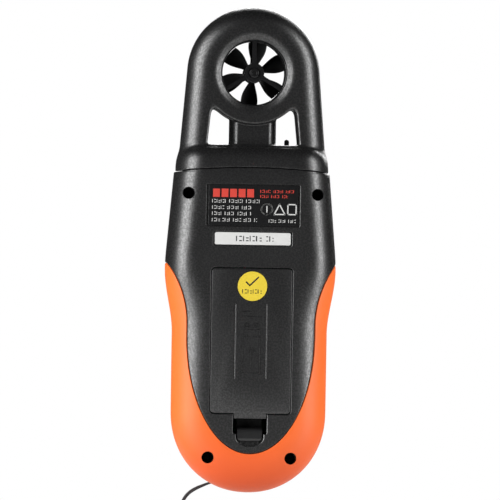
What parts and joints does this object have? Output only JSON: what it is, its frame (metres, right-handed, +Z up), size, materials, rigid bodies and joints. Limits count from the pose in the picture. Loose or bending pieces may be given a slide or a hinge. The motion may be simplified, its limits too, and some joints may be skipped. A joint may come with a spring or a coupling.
{
  "type": "handheld weather meter",
  "caption": "Handheld weather meter: waisted black case with orange grips, display and keys, battery door, and an arched head that holds a spinning wind vane.",
  "frame": {"origin": "hand grip: the middle of the case's waist, on the plane where the two halves meet", "axes": "+Z up along the case to the vane head, +Y out of the battery door side, -Y out of the key side, +X to the side the wrist cord leaves"},
  "size_m": [0.0702, 0.0369, 0.2599],
  "materials": {
    "case_black": "fine grained moulded ABS",
    "inner_black": "plain moulded ABS",
    "grip_orange": "soft-touch orange over-moulding",
    "vane_black": "smooth black moulding",
    "steel": "plated steel",
    "brass": "turned brass",
    "circuit_board": "green solder mask",
    "ribbon_white": "flat film cable",
    "chip_black": "epoxy package",
    "lcd_glass": "reflective display glass",
    "contact_rubber": "striped contact rubber",
    "diffuser_white": "white diffuser",
    "clear_window": "clear acrylic",
    "key_rubber": "silicone rubber",
    "key_grey": "grey key cap",
    "battery_can": "printed metal can",
    "snap_black": "moulded snap",
    "lead_red": "PVC insulation",
    "lead_black": "PVC insulation",
    "foam": "closed-cell foam",
    "label_black": "printed film",
    "label_white": "printed white label",
    "sticker_yellow": "round paper sticker",
    "cord_black": "braided polyester cord"
  },
  "bodies": {
    "case": {"rear_cover": "case_black", "front_cover": "case_black", "head_rear_shell": "case_black", "head_front_shell": "case_black", "battery_tray": "inner_black", "lcd_frame": "inner_black", "rear_grip": "grip_orange", "front_grip": "grip_orange", "vane_duct": "vane_black", "rear_spider": "vane_black", "front_spider": "vane_black", "rear_bearing": "brass", "front_bearing": "brass", "vane_sensor": "circuit_board", "sensor_ribbon": "ribbon_white", "temperature_sensor": "vane_black", "main_board": "circuit_board", "processor_chip": "chip_black", "lcd_glass": "lcd_glass", "contact_strip": "contact_rubber", "backlight_panel": "diffuser_white", "display_window": "clear_window", "key_mat": "key_rubber", "battery": "battery_can", "battery_snap": "snap_black", "battery_lead_red": "lead_red", "battery_lead_black": "lead_black", "rating_label": "label_black", "serial_label": "label_white", "strap_lug": "steel", "wrist_cord": "cord_black", "wrist_cord_hank": "cord_black", "cord_ferrule": "steel", "hank_tie": "key_rubber", "case_screw_1": "steel", "board_screw_1": "steel", "case_screw_2": "steel", "board_screw_2": "steel", "case_screw_3": "steel", "board_screw_3": "steel", "case_screw_4": "steel", "board_screw_4": "steel"},
    "vane": {"impeller": "vane_black", "impeller_shaft": "steel"},
    "door": {"battery_door": "case_black", "door_foam_pad": "foam", "inspection_sticker": "sticker_yellow"},
    "latch": {"door_latch": "case_black"},
    "key_cap_1": {"key_1": "key_grey"},
    "key_cap_2": {"key_2": "key_grey"},
    "key_cap_3": {"key_3": "key_grey"},
    "key_cap_4": {"key_4": "key_grey"},
    "key_cap_5": {"key_5": "key_grey"},
    "key_cap_6": {"key_6": "key_grey"}
  },
  "joints": [
    {"name": "vane_spin", "type": "hinge", "parent": "case", "child": "vane", "pos_m": [0, 0, 0.1181], "axis": [0, 1, 0], "continuous": true},
    {"name": "door_hinge", "type": "hinge", "parent": "case", "child": "door", "pos_m": [0, 0.0185, 0.038], "axis": [1, 0, 0], "range_deg": [0, 50]},
    {"name": "latch_press", "type": "slide", "parent": "door", "child": "latch", "axis": [0, 0, 1], "range_m": [0, 0.0012], "stiffness_N_per_m": 900},
    {"name": "key_1_press", "type": "slide", "parent": "case", "child": "key_cap_1", "axis": [0, 1, 0], "range_m": [0, 0.0008], "stiffness_N_per_m": 900},
    {"name": "key_2_press", "type": "slide", "parent": "case", "child": "key_cap_2", "axis": [0, 1, 0], "range_m": [0, 0.0008], "stiffness_N_per_m": 900},
    {"name": "key_3_press", "type": "slide", "parent": "case", "child": "key_cap_3", "axis": [0, 1, 0], "range_m": [0, 0.0008], "stiffness_N_per_m": 900},
    {"name": "key_4_press", "type": "slide", "parent": "case", "child": "key_cap_4", "axis": [0, 1, 0], "range_m": [0, 0.0008], "stiffness_N_per_m": 900},
    {"name": "key_5_press", "type": "slide", "parent": "case", "child": "key_cap_5", "axis": [0, 1, 0], "range_m": [0, 0.0008], "stiffness_N_per_m": 900},
    {"name": "key_6_press", "type": "slide", "parent": "case", "child": "key_cap_6", "axis": [0, 1, 0], "range_m": [0, 0.0008], "stiffness_N_per_m": 900}
  ]
}
